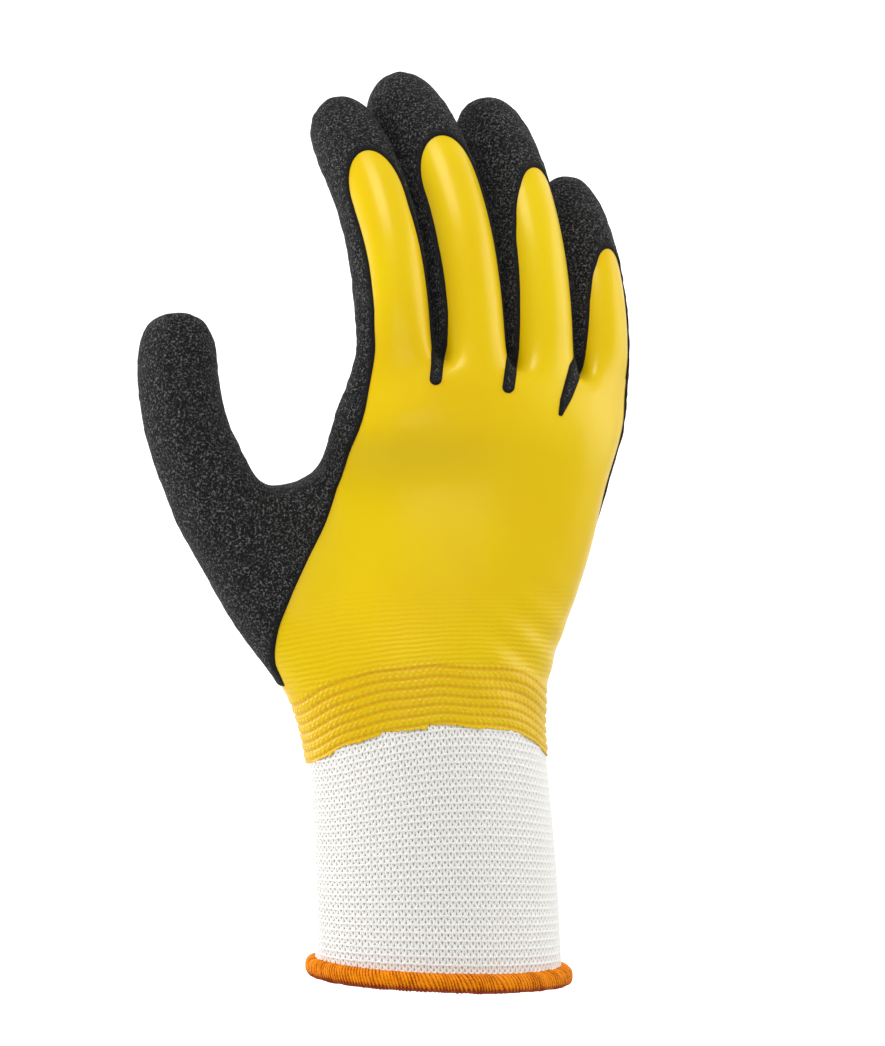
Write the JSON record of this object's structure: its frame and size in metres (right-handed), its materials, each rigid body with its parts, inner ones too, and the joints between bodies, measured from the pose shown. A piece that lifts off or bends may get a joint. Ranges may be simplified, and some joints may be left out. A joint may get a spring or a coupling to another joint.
{
  "type": "latex coated grip work glove, right hand",
  "caption": "Right-hand knitted work glove with a smooth latex back, a grainy grip coat on palm, thumb and fingertips, and a knitted cuff with a stitched hem.",
  "frame": {"origin": "centre of the cuff's opening at the hem, where the hand goes in", "axes": "+Z from the opening to the fingertips, -Y out of the back of the hand, +Y out of the palm, -X towards the thumb"},
  "size_m": [0.1379, 0.073, 0.2507],
  "materials": {
    "latex_hand": "smooth satin latex",
    "grip_coat": "matt sandy foam latex",
    "knit_cuff": "plain knit",
    "cuff_hem": "wound overlock thread"
  },
  "bodies": {
    "root": {"latex_hand": "latex_hand", "latex_thumb": "latex_hand", "latex_index": "latex_hand", "latex_middle": "latex_hand", "latex_ring": "latex_hand", "latex_little": "latex_hand", "grip_coat": "grip_coat", "knit_cuff": "knit_cuff", "cuff_hem": "cuff_hem"}
  },
  "joints": []
}
